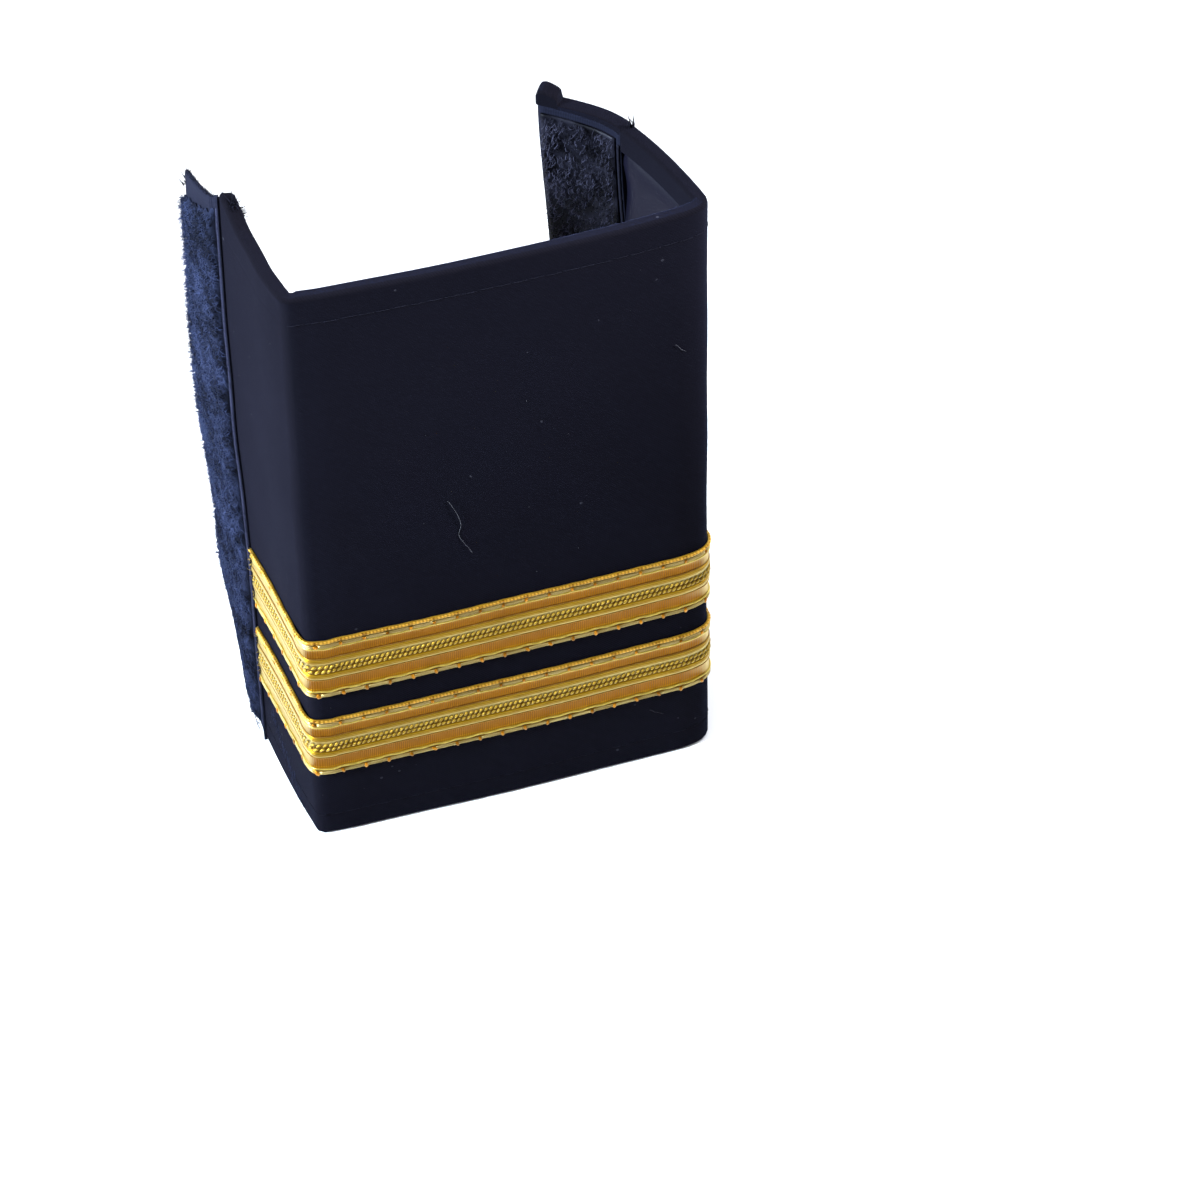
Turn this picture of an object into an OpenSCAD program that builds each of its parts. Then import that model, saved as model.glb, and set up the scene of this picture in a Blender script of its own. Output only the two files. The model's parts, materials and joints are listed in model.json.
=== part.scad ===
// Slip-on shoulder board with a hook-and-loop back, opened and standing on its lower end.
// Millimetres. The front faces -Y, +Z runs up the board, and the two flaps reach back along +Y.
// Every layer is a sheet that follows one wrap: a distance along the cloth, a height, and an offset out of it.

/* [Board] */
// Height of the board, from the foot to the top
board_h = 101.8; // [80:0.2:130]
// Width of the front, measured along the cloth from fold to fold
front_w = 58; // [46:1:70]
// Width of the left flap, from its fold to the loop strip
left_flap_w = 18.2; // [12:0.2:26]
// Width of the right flap, from its fold to the hook strip
right_flap_w = 17.2; // [12:0.2:24]
// How far the top leans to the left of the foot
lean_left = 1.4; // [0:0.1:3]
// How far the top leans forward of the foot
lean_forward = 1.2; // [0:0.1:3]

/* [Cloth] */
// Thickness of the outer cloth
cloth_t = 1; // [1:0.1:1.6]
// Thickness of the smooth inner facing
facing_t = 1; // [1:0.1:1.6]
// Depth of the hem that is turned in at the foot and the top
hem_h = 4; // [2:0.5:8]
// Radius of the rounded cloth edges
edge_r = 0.4; // [0.1:0.05:0.45]
// Share of the top hem's depth that is left over the hook strip at its seam
seam_hem_share = 0.3; // [0.25:0.05:1]
// Share of the top hem's depth that is left at the free end of the right flap
end_hem_share = 0.15; // [0.1:0.05:1]
// Radius inside the two folds
fold_in_r = 0.35; // [0.2:0.05:1.5]
// How far the outside of the left fold is pressed to an edge
crease_out = 0.4; // [0:0.1:0.6]
// Clearance between two layers
gap = 0.1; // [0.08:0.01:0.14]

/* [Fastener] */
// Width of the loop strip that stands out from the left flap
loop_w = 12; // [9:0.5:20]
// Length of cloth that lies under the loop strip
loop_lap = 2.5; // [1:0.5:6]
// Width of the hook strip inside the right flap
hook_w = 14; // [9:0.2:20]
// Thickness of the woven backing of both strips
backing_t = 0.8; // [0.5:0.05:1.2]
// Width of the bare edge of a strip beside its seam
selvage_w = 1.1; // [0.6:0.1:2.5]
// Height of the rib along that edge
selvage_rib = 0.25; // [0.1:0.05:0.5]
// Depth of the loop pile
pile_t = 0.8; // [0.5:0.1:2]
// Depth of the hooks
hook_t = 0.8; // [0.5:0.1:1.5]
// Bare length of the loop strip at its top
pile_top_bare = 3.6; // [1:0.2:8]
// Bare length of each strip at its other ends
strip_end_bare = 0.8; // [0.4:0.2:4]
// How far the outer corner of the loop strip is trimmed off at the top
loop_top_trim = 4; // [0:0.5:8]
// How far the outer corner of the loop strip is trimmed off at the foot
loop_foot_trim = 12; // [0:0.5:14]

/* [Top corners] */
// How far the top of the left flap rises towards the loop strip
seam_rise_h = 1.6; // [0:0.1:3]
// Width of the rolled-up corner of cloth at the top of the right flap
tuck_w = 3.4; // [2:0.2:6]
// How far that corner stands above the top
tuck_rise = 1.8; // [0.2:0.1:3]
// How far that corner bulges outward
tuck_bulge = 0.7; // [0.2:0.1:2]

/* [Braids] */
// Width of a braid
braid_w = 11; // [6:0.5:14]
// Thickness of a braid at its ridges
braid_t = 0.5; // [0.4:0.05:1.2]
// Height of the lower braid above the foot
braid_foot = 12.8; // [5:0.2:20]
// Bare cloth between the two braids
braid_gap = 4.6; // [1:0.2:10]
// Clearance at the ends of a braid
braid_end_gap = 0.3; // [0.1:0.1:1]

/* [Hidden] */

wall_t = cloth_t + gap + facing_t;
// Width over which a sheet steps from one thickness to another
step = 0.1;
// The sharpest turn of each fold in degrees, and the length of cloth that it takes to bend the whole wall so far
left_angle = 76;
right_angle = 85;
left_fold_w = (wall_t + fold_in_r) * left_angle * PI / 180;
right_fold_w = (wall_t + fold_in_r) * right_angle * PI / 180;
// Share of each half of the front that stays nearly flat
flat_share = 0.86;
half_left = (front_w - left_fold_w) / 2;
half_right = (front_w - right_fold_w) / 2;
// Shares of the height at which the fold tables give their turns, and the rows of points between them
LEVELS = [0, 0.3, 0.65, 1];
LEVEL_ROWS = [9, 7, 5];
// Columns: width of the stretch, steps across it, then its turn in degrees at the foot, low, high and top
LEFT = [
    [half_left * flat_share, 1, 0.5, 0.5, 1.5, 2],
    [half_left * (1 - flat_share), 2, 5.5, 6.5, 6.5, 8],
    [left_fold_w, 4, left_angle, 74, 65, 60],
    [left_flap_w * 0.35, 2, 2, 6, 15, 18],
    [left_flap_w * 0.65, 2, 4, -4.5, -9, -7],
    [loop_w * 0.5, 2, 17, 5, 5, 5],
    [loop_w * 0.5, 2, 10, 4, 4, 4],
];
RIGHT = [
    [half_right * flat_share, 1, 1, 1, 3, 4],
    [half_right * (1 - flat_share), 2, 15, 17, 15, 10],
    [right_fold_w, 6, 70, 79, 82, right_angle],
    [right_flap_w * 0.45, 1, 2, 4, 3, 6],
    [right_flap_w * 0.55, 1, 4, 5, 6, 9],
    [hook_w * 0.4, 3, 12, 13, 16, 22],
    [hook_w * 0.6, 3, 10, 11, 12, 12],
];
// Columns: share of the tucked corner's width from the free end, share of its height
TUCK_PROFILE = [[0, 0.35], [0.15, 0.9], [0.3, 1], [0.85, 0.7], [1, 0]];
// Columns: share of the braid's width, share of its thickness
BRAID_PROFILE = [
    [0, 0.4], [0.03, 1], [0.08, 1], [0.11, 0.6], [0.34, 0.7], [0.38, 1], [0.44, 0.7],
    [0.56, 0.7], [0.62, 1], [0.66, 0.7], [0.89, 0.6], [0.92, 1], [0.97, 1], [1, 0.4],
];

// Distances along the cloth from the middle of the front, negative to the left
function reach(rows, count) = count == 0 ? 0 : rows[count - 1][0] + reach(rows, count - 1);
left_seam = -reach(LEFT, 5);
left_end = -reach(LEFT, 7);
right_seam = reach(RIGHT, 5);
right_end = reach(RIGHT, 7);

function eased(t) = let (u = max(0, min(1, t))) u * u * (3 - 2 * u);
function turn(row, k, i = 0) = i == 3 ? row[2] :
    (row[3 + i] - row[2 + i]) * eased((k - LEVELS[i]) / (LEVELS[i + 1] - LEVELS[i])) + turn(row, k, i + 1);

// Walks s along the stretches at the height share k: gives how far across, how far back, and the heading
function walk(rows, s, k, i = 0, x = 0, y = 0, heading = 0) = i == len(rows) || s <= 0 ? [x, y, heading] :
    let (
        part = i == len(rows) - 1 ? s : min(s, rows[i][0]),
        bend = turn(rows[i], k) * part / rows[i][0],
        chord = abs(bend) < 0.01 ? part : part * sin(bend / 2) / (bend * PI / 360),
        to = heading + bend / 2
    ) walk(rows, s - part, k, i + 1, x + chord * cos(to), y + chord * sin(to), heading + bend);

// How far the left fold's pressed edge moves every layer outward
function crease(s) = crease_out * eased(1 - abs(s + half_left + left_fold_w / 2) / (left_fold_w / 2));

// The point at distance s along the cloth and height z, offset out of its outer face
function place(s, z, offset) =
    let (
        side = s < 0 ? -1 : 1,
        k = z / board_h,
        p = walk(s < 0 ? LEFT : RIGHT, abs(s), k),
        out = offset + crease(s)
    ) [
        side * (p.x + out * sin(p.z)) - lean_left * k,
        p.y - out * cos(p.z) - lean_forward * k,
        z
    ];

// Distances along the cloth at every step of the fold tables
function stops(rows, i = 0, from = 0) = i == len(rows) ? [] :
    concat([for (n = [1:rows[i][1]]) from + rows[i][0] * n / rows[i][1]], stops(rows, i + 1, from + rows[i][0]));
function backward(list) = [for (i = [len(list) - 1:-1:0]) list[i]];
ALL_STOPS = concat([for (s = backward(stops(LEFT))) -s], [0], stops(RIGHT));
ALL_ROWS = [
    for (i = [0:len(LEVEL_ROWS) - 1]) for (n = [0:LEVEL_ROWS[i] - 1])
        board_h * (LEVELS[i] + (LEVELS[i + 1] - LEVELS[i]) * n / LEVEL_ROWS[i])
];
function sorted(list) = len(list) < 2 ? list :
    let (
        pivot = list[floor(len(list) / 2)],
        below = [for (v = list) if (v < pivot) v],
        above = [for (v = list) if (v > pivot) v]
    ) concat(sorted(below), [pivot], sorted(above));
// The shared places that lie between two ends, with the ends and any extra ones, in order
function between(list, from, to, extra = []) =
    sorted(concat([from], [for (v = list) if (v > from + 2 * step && v < to - 2 * step) v], extra, [to]));
function along(from, to, extra = []) = between(ALL_STOPS, from, to, extra);
function up(from, to, extra = []) = between(ALL_ROWS, from, to, extra);

// How far a rounded edge draws in at the distance d from it
function round_in(d) = d >= edge_r ? 0 : edge_r - sqrt(edge_r * edge_r - pow(edge_r - max(d, 0), 2));
function no_lift() = function (s, z) 0;

// A sheet: distances along, heights, its inner and outer offset, and how far each point is lifted
function sheet(along, up, inner, outer, lift = no_lift()) = [along, up, inner, outer, lift];
function sheet_points(sheet) = [
    for (face = [sheet[3], sheet[2]]) for (s = sheet[0]) for (z = sheet[1])
        place(s, z + sheet[4](s, z), face(s, z))
];
function split(a, b, c, d) = [[a, b, c], [a, c, d]];
function sheet_faces(n, m) =
    let (
        out = function (i, j) i * m + j,
        in = function (i, j) n * m + i * m + j
    ) [
        for (i = [0:n - 2]) for (j = [0:m - 2]) each concat(
            split(out(i, j), out(i, j + 1), out(i + 1, j + 1), out(i + 1, j)),
            split(in(i, j), in(i + 1, j), in(i + 1, j + 1), in(i, j + 1))
        ),
        for (i = [0:n - 2]) each concat(
            split(out(i, 0), out(i + 1, 0), in(i + 1, 0), in(i, 0)),
            split(out(i + 1, m - 1), out(i, m - 1), in(i, m - 1), in(i + 1, m - 1))
        ),
        for (j = [0:m - 2]) each concat(
            split(out(0, j + 1), out(0, j), in(0, j), in(0, j + 1)),
            split(out(n - 1, j), out(n - 1, j + 1), in(n - 1, j + 1), in(n - 1, j))
        )
    ];

// Outer cloth: one thickness, and the full wall where the hems are turned in
cloth_left = left_seam - loop_lap;
hem_low = hem_h;
hem_high = board_h - hem_h;
// The top hem steps up at the hook strip and narrows along it: how far the line at its foot rises
hem_slant_from = hem_high - 4 * hem_h;
function hem_share(s) = lookup(s, [[right_seam - step, 1], [right_seam, seam_hem_share], [right_end, end_hem_share]]);
function hem_rise(s, z) = hem_h * (1 - hem_share(s))
    * max(0, min((z - hem_slant_from) / (hem_high - hem_slant_from), (board_h - z) / hem_h));
function in_hem(s, z) = s >= left_seam && (z <= hem_low || z >= hem_high);
function cloth_edge(s, z) = min(z, board_h - z, right_end - s);
function above_hem(z) = max(0, z - hem_high) / hem_h;
function tuck(s, z) = lookup((right_end - s) / tuck_w, TUCK_PROFILE) * above_hem(z);
// The last stretch of the left flap's top rises to the seam, and the loop strip starts from there
seam_rise_w = LEFT[4][0] / LEFT[4][1];
function seam_rise(s, z) = seam_rise_h * max(0, min(1, (left_seam + seam_rise_w - s) / seam_rise_w)) * above_hem(z);
CLOTH = sheet(
    along(cloth_left, right_end, concat(
        [left_seam - step, left_seam, right_seam - step],
        [for (row = TUCK_PROFILE) if (row[0] > 0) right_end - tuck_w * row[0]],
        [right_end - edge_r / 3]
    )),
    concat(
        [0, edge_r / 3, edge_r, hem_low],
        up(hem_low + step, hem_high - step),
        [hem_high, board_h - edge_r, board_h - edge_r / 3, board_h]
    ),
    function (s, z) -(in_hem(s, z) ? wall_t : cloth_t) + round_in(cloth_edge(s, z)),
    function (s, z) tuck_bulge * tuck(s, z) - round_in(cloth_edge(s, z)),
    function (s, z) tuck_rise * tuck(s, z) + hem_rise(s, z) + seam_rise(s, z)
);

// Inner facing: lies inside the cloth between the hems and the two strips
inside_low = hem_low + step + gap;
inside_high = hem_high - step - gap;
FACING = sheet(
    along(left_seam, right_seam),
    up(inside_low, inside_high),
    function (s, z) -wall_t,
    function (s, z) -cloth_t - gap
);

// Loop strip: stitched over the edge of the left flap, trimmed to a slant at its top and to a curve at its foot
loop_inner = gap;
loop_outer = gap + backing_t;
function loop_share(s) = (left_seam - s) / loop_w;
function loop_lift(s, z) = seam_rise(s, z)
    + sqrt(loop_share(s)) * loop_foot_trim * (1 - z / board_h) - loop_share(s) * loop_top_trim * z / board_h;
LOOP_STRIP = sheet(
    along(left_end, left_seam, [left_seam - selvage_w, left_seam - selvage_w + step, left_seam - step]),
    up(gap, board_h - gap),
    function (s, z) loop_inner,
    function (s, z) loop_outer + (s < left_seam - selvage_w + step / 2 || s > left_seam - step / 2 ? 0 : selvage_rib),
    function (s, z) loop_lift(s, z)
);
LOOP_PILE = sheet(
    along(left_end + strip_end_bare / 2, left_seam - selvage_w - step),
    up(strip_end_bare, board_h - pile_top_bare),
    function (s, z) loop_outer + gap,
    function (s, z) loop_outer + gap + pile_t,
    function (s, z) loop_lift(s, z)
);

// Hook strip: stitched inside the end of the right flap
hook_outer = -cloth_t - gap;
hook_inner = hook_outer - backing_t;
HOOK_STRIP = sheet(
    along(right_seam + gap, right_end - edge_r, [right_seam + selvage_w - step, right_seam + selvage_w]),
    up(inside_low, inside_high),
    function (s, z) hook_inner - (s < right_seam + selvage_w - step / 2 ? selvage_rib : 0),
    function (s, z) hook_outer,
    function (s, z) hem_rise(s, z)
);
HOOK_FIELD = sheet(
    along(right_seam + selvage_w + step, right_end - strip_end_bare),
    up(inside_low + strip_end_bare, inside_high - strip_end_bare),
    function (s, z) hook_inner - gap - hook_t,
    function (s, z) hook_inner - gap,
    function (s, z) hem_rise(s, z)
);

// Braids: ridged lace that runs from the loop strip round the front to the end of the right flap
function braid(foot) = sheet(
    along(left_seam + braid_end_gap, right_end - edge_r - braid_end_gap),
    [for (row = BRAID_PROFILE) foot + braid_w * row[0]],
    function (s, z) gap,
    function (s, z) gap + braid_t * lookup((z - foot) / braid_w, BRAID_PROFILE)
);
LOWER_BRAID = braid(braid_foot);
UPPER_BRAID = braid(braid_foot + braid_w + braid_gap);

// The origin is the middle of the whole outline, at the foot
EVERY_POINT = [
    for (sheet = [CLOTH, FACING, LOOP_STRIP, LOOP_PILE, HOOK_STRIP, HOOK_FIELD, LOWER_BRAID, UPPER_BRAID])
        each sheet_points(sheet)
];
function middle(axis) =
    let (values = [for (p = EVERY_POINT) p[axis]]) (min(values) + max(values)) / 2;
origin = [middle(0), middle(1), min([for (p = EVERY_POINT) p.z])];

module layer(sheet) {
    translate(-origin)
        polyhedron(sheet_points(sheet), sheet_faces(len(sheet[0]), len(sheet[1])));
}

module cloth_wrap() {
    color("#1d1f30") layer(CLOTH);
}

module inner_facing() {
    color("#262a40") layer(FACING);
}

module loop_strip() {
    color("#2b3350") layer(LOOP_STRIP);
}

module loop_pile() {
    color("#3a527f") layer(LOOP_PILE);
}

module hook_strip() {
    color("#23283a") layer(HOOK_STRIP);
}

module hook_field() {
    color("#14161f") layer(HOOK_FIELD);
}

module lower_braid() {
    color("#d9aa3a") layer(LOWER_BRAID);
}

module upper_braid() {
    color("#d9aa3a") layer(UPPER_BRAID);
}

cloth_wrap();
inner_facing();
loop_strip();
loop_pile();
hook_strip();
hook_field();
lower_braid();
upper_braid();
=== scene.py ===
import json
import math
import bpy
import numpy as np
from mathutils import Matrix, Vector


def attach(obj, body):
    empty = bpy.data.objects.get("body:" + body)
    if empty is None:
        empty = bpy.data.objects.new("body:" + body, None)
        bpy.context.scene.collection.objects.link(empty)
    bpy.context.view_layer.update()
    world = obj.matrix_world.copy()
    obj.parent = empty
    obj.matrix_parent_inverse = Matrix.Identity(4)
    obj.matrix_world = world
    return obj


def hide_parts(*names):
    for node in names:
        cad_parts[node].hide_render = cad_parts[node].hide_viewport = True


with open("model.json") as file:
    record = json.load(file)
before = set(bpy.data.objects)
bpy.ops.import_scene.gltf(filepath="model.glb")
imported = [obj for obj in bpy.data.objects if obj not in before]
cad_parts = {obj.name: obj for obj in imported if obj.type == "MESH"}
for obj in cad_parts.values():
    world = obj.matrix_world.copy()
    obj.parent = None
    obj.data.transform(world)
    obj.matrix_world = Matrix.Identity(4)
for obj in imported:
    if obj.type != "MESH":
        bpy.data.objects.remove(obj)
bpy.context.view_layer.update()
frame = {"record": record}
mm = 0.001
seeds = np.random.default_rng(71)  # every piece draws its unevenness from here, in turn

# the camera stands where the photo was taken from, high and to the left of the board
view = {"from": (-0.1600, -0.5475, 0.5971), "to": (0.0259, 0.0160, 0.0), "lens": 173.0}


def makeCamera():
    data = bpy.data.cameras.new("photoCamera")
    data.lens = view["lens"]
    data.sensor_width = 36
    data.clip_start = 0.01
    camera = bpy.data.objects.new("photoCamera", data)
    bpy.context.scene.collection.objects.link(camera)
    camera.location = view["from"]
    aim = Vector(view["to"]) - Vector(view["from"])
    camera.rotation_euler = aim.to_track_quat("-Z", "Y").to_euler()
    bpy.context.scene.camera = camera


makeCamera()
print("camera placed")

# how the board was cut and folded, in millimetres and degrees
board = {
    "height": 101.8, "frontWidth": 58, "leftFlap": 18.2, "rightFlap": 17.2,
    "loopWidth": 12, "hookWidth": 14, "loopLap": 2.5, "hem": 4, "seamHem": 0.3, "endHem": 0.15,
    "seamRise": 1.6, "cornerRise": 1.2, "seamBow": 1.2,
    "cloth": 1, "facing": 1, "clearance": 0.1, "backing": 0.8, "crease": 0.4,
    "foldInside": 0.35, "leftAngle": 76, "rightAngle": 85, "leanLeft": 1.4, "leanForward": 1.2,
}
wall = board["cloth"] + board["clearance"] + board["facing"]
leftFold = (wall + board["foldInside"]) * math.radians(board["leftAngle"])
rightFold = (wall + board["foldInside"]) * math.radians(board["rightAngle"])
halfLeft, halfRight = (board["frontWidth"] - leftFold) / 2, (board["frontWidth"] - rightFold) / 2
leftMiddle = -halfLeft - leftFold / 2  # where the left fold turns, along the cloth
turnLevels = (0, 0.3, 0.65, 1)  # shares of the height at which the stretches state their turns
# width of a stretch of cloth, then its turn in degrees at the foot, low, high and top
leftStretches = [
    (halfLeft * 0.86, 0.5, 0.5, 1.5, 2),
    (halfLeft * 0.14, 5.5, 6.5, 6.5, 8),
    (leftFold, 76, 74, 65, 60),
    (board["leftFlap"] * 0.35, 2, 6, 15, 18),
    (board["leftFlap"] * 0.65, 4, -4.5, -9, -7),
    (board["loopWidth"] * 0.5, 17, 5, 5, 5),
    (board["loopWidth"] * 0.5, 10, 4, 4, 4),
]
rightStretches = [
    (halfRight * 0.86, 1, 1, 3, 4),
    (halfRight * 0.14, 15, 17, 15, 10),
    (rightFold, 70, 79, 82, 85),
    (board["rightFlap"] * 0.45, 2, 4, 3, 6),
    (board["rightFlap"] * 0.55, 4, 5, 6, 9),
    (board["hookWidth"] * 0.4, 12, 13, 16, 22),
    (board["hookWidth"] * 0.6, 10, 11, 12, 12),
]
seamLeft = -sum(row[0] for row in leftStretches[:5])
seamRight = sum(row[0] for row in rightStretches[:5])
endLeft = seamLeft - board["loopWidth"]
endRight = seamRight + board["hookWidth"]
clothLeft = seamLeft - board["loopLap"]
top = board["height"]
clothInside = -board["cloth"] - board["clearance"]  # where the facing and the hook strip begin


def smooth(t):
    t = np.clip(t, 0, 1)
    return t * t * (3 - 2 * t)


def turnAt(row, share):
    turn = row[1]
    for i in range(3):
        t = (share - turnLevels[i]) / (turnLevels[i + 1] - turnLevels[i])
        turn = turn + (row[i + 2] - row[i + 1]) * smooth(t)
    return turn


def walk(stretches, reach, share):
    across, back, heading, start = 0.0, 0.0, 0.0, 0.0
    for number, row in enumerate(stretches):
        longest = row[0] if number < len(stretches) - 1 else None
        part = np.clip(reach - start, 0, longest)
        bend = np.radians(turnAt(row, share)) * part / row[0]
        chord = part * np.sinc(bend / 2 / math.pi)
        across = across + chord * np.cos(heading + bend / 2)
        back = back + chord * np.sin(heading + bend / 2)
        heading = heading + bend
        start += row[0]
    return across, back, heading


def hump(x, middle, reach):
    return np.exp(-(((x - middle) / reach) ** 2))


def hemRise(s, z):  # the top hem steps up at the hook strip and narrows along it
    hem, line = board["hem"], top - board["hem"]
    shares = (1, board["seamHem"], board["endHem"])
    slant = hem * (1 - np.interp(s, (seamRight - 0.1, seamRight, endRight), shares))
    return slant * np.clip(np.minimum((z - line + 4 * hem) / (4 * hem), (top - z) / hem), 0, None)


def seamRise(s, z):  # the left flap's top rises towards the loop strip
    reach, inHem = board["leftFlap"] * 0.325, np.maximum(0, z / board["hem"] + 1 - top / board["hem"])
    return board["seamRise"] * smooth((seamLeft + reach - s) / reach) * inHem


def cornerRise(s, z):  # the top corner at the seam stands a little higher still
    return board["cornerRise"] * np.exp(-np.abs(s - seamLeft) / 2.5) * np.clip(12 * z / top - 11, 0, 1)


def ripple(s, z):  # the cloth's own slow unevenness and pressed fold, which every layer follows
    crease = board["crease"] * smooth(1 - np.abs(s - leftMiddle) / (leftFold / 2))
    slow = 0.07 * np.sin(0.10 * s + 0.06 * z + 1.1) + 0.05 * np.sin(0.21 * s - 0.11 * z + 2.3)
    dents = 0.05 * np.sin(0.33 * s + 0.29 * z) * hump(z, 60, 30)
    return crease + slow + dents + 0.3 * hump(s, -30.5, 1.8) * hump(z, top, 1.4)


def wrapped(s, z, offset):
    s, z, offset = np.broadcast_arrays(*(np.asarray(v, float) for v in (s, z, offset)))
    share = z / top
    left, right = walk(leftStretches, -s, share), walk(rightStretches, s, share)
    across, back, heading = (np.where(s < 0, a, b) for a, b in zip(left, right))
    x = np.where(s < 0, -1, 1) * (across + offset * np.sin(heading)) - board["leanLeft"] * share
    y = back - offset * np.cos(heading) - board["leanForward"] * share
    return np.stack([x, y, z], -1)


footMount = next(m for m in frame["record"]["mounts"] if m["name"] == "foot_edge")
shift = np.array(footMount["pos_m"]) / mm - wrapped(0, 0, -wall / 2)


def place(s, z, offset=0.0, lift=0.0):  # a point of the wrap in the frame, in metres
    return (wrapped(s, z + lift, np.asarray(offset) + ripple(s, z + lift)) + shift) * mm


def giveTone(mesh, tone):  # each thread's tone, which its material reads; on the wound rim cords it carries painted shade
    attribute = mesh.attributes.new("tone", "FLOAT", "POINT")
    attribute.data.foreach_set("value", np.asarray(tone, np.float32).ravel())


def buildMesh(name, points, groups, uv=None, tone=None):
    mesh = bpy.data.meshes.new(name)
    groups = [np.asarray(g, np.int64) for g in groups if len(g)]
    corners = np.concatenate([g.ravel() for g in groups])
    sizes = np.concatenate([np.full(len(g), g.shape[1]) for g in groups])
    mesh.vertices.add(len(points))
    mesh.vertices.foreach_set("co", np.asarray(points, np.float32).ravel())
    mesh.loops.add(len(corners))
    mesh.loops.foreach_set("vertex_index", corners.astype(np.int32))
    mesh.polygons.add(len(sizes))
    mesh.polygons.foreach_set("loop_start", (np.cumsum(sizes) - sizes).astype(np.int32))
    mesh.update(calc_edges=True)
    if uv is not None:
        layer = mesh.uv_layers.new(name="threads")
        layer.uv.foreach_set("vector", np.asarray(uv, np.float32).ravel())
    if tone is not None:
        giveTone(mesh, tone)
    mesh.shade_smooth()
    piece = bpy.data.objects.new(name, mesh)
    bpy.context.scene.collection.objects.link(piece)
    return piece


def sheetFaces(n, m):  # the two sides of a sheet of n by m points, then its four edges
    front = np.arange(n * m).reshape(n, m)
    rear = front + n * m
    return [np.stack(corners, -1).reshape(-1, 4) for corners in (
        (front[:-1, :-1], front[1:, :-1], front[1:, 1:], front[:-1, 1:]),
        (rear[:-1, :-1], rear[:-1, 1:], rear[1:, 1:], rear[1:, :-1]),
        (front[:-1, 0], rear[:-1, 0], rear[1:, 0], front[1:, 0]),
        (front[:-1, -1], front[1:, -1], rear[1:, -1], rear[:-1, -1]),
        (front[0, :-1], front[0, 1:], rear[0, 1:], rear[0, :-1]),
        (front[-1, :-1], rear[-1, :-1], rear[-1, 1:], front[-1, 1:]),
    )]


def sheetPiece(name, along, up, inner, outer, lift=0.0, slid=None):
    # slid: where the points lie along the cloth, if not where its threads say
    s, z = np.meshgrid(along, up, indexing="ij")
    sides = [place(s if slid is None else slid, z, face, lift).reshape(-1, 3) for face in (outer, inner)]
    faces = sheetFaces(*s.shape)
    thick = float(np.max(np.asarray(outer) - np.asarray(inner)))
    frontUv = np.stack([s, z], -1).reshape(-1, 2)
    rearUv = np.stack([s, 2 * up[-1] + thick - z], -1).reshape(-1, 2)
    both = np.concatenate([frontUv, rearUv])
    uv = [both[faces[0].ravel()], both[faces[1].ravel()]]
    low, high, start, end = up[0], up[-1], along[0], along[-1]
    a, b, c, d = along[:-1], along[1:], up[:-1], up[1:]
    edges = [  # the four corners of each face of an edge, along the cloth and then up it
        (a, a, b, b, low, low - thick, low - thick, low),
        (a, b, b, a, high, high, high + thick, high + thick),
        (start, start, start - thick, start - thick, c, d, d, c),
        (end, end + thick, end + thick, end, c, c, d, d),
    ]
    for edge in edges:
        row = np.broadcast_arrays(*edge)
        uv.append(np.stack([np.stack(row[:4], -1), np.stack(row[4:], -1)], -1).reshape(-1, 2))
    piece = buildMesh(name, np.concatenate(sides), faces, uv=np.concatenate(uv))
    rim = np.arange(len(piece.data.polygons)) >= 2 * len(faces[0])
    piece.data.polygons.foreach_set("use_smooth", ~rim)
    return piece


def strandPiece(name, paths, radius, sides=3, tone=None, capped=True):
    # paths: strands, points along each, xyz; the finest strands go uncapped, as their ends don't show
    count, steps, _ = paths.shape
    tangent = np.gradient(paths, axis=1)
    tangent /= np.maximum(np.linalg.norm(tangent, axis=2, keepdims=True), 1e-12)
    chord = tangent.mean(axis=1)
    reference = np.eye(3)[np.argmin(np.abs(chord), axis=1)][:, None, :]
    side = np.cross(tangent, reference)
    side /= np.maximum(np.linalg.norm(side, axis=2, keepdims=True), 1e-12)
    over = np.cross(side, tangent)
    angle = 2 * math.pi * np.arange(sides) / sides
    spokes = (np.cos(angle)[:, None] * side[:, :, None, :] + np.sin(angle)[:, None] * over[:, :, None, :])
    thick = np.broadcast_to(np.asarray(radius, float), (count, steps))[:, :, None, None]
    points = (paths[:, :, None, :] + thick * spokes).reshape(-1, 3)
    ring = np.arange(count * steps * sides).reshape(count, steps, sides)
    turned = np.roll(ring, -1, axis=2)
    walls = np.stack([ring[:, :-1], turned[:, :-1], turned[:, 1:], ring[:, 1:]], -1).reshape(-1, 4)
    caps = np.concatenate([ring[:, 0, ::-1], ring[:, -1, :]])
    if tone is not None:
        tone = np.repeat(np.broadcast_to(tone, (count, steps)).reshape(-1), sides)
    return buildMesh(name, points, [walls, caps] if capped else [walls], tone=tone)


def ballShape(segments, rings):  # a unit ball as points and quads with triangle ends
    points = [(0, 0, -1)]
    for r in range(1, rings):
        height, width = -math.cos(math.pi * r / rings), math.sin(math.pi * r / rings)
        for q in range(segments):
            turn = 2 * math.pi * q / segments
            points.append((width * math.cos(turn), width * math.sin(turn), height))
    points.append((0, 0, 1))
    last = len(points) - 1
    quads, triangles = [], []
    for q in range(segments):
        after = (q + 1) % segments
        triangles.append((0, 1 + after, 1 + q))
        triangles.append((last, last - segments + q, last - segments + after))
        for r in range(rings - 2):
            low, high = 1 + r * segments, 1 + (r + 1) * segments
            quads.append((low + q, low + after, high + after, high + q))
    return np.array(points, float), np.array(quads), np.array(triangles)


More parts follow.
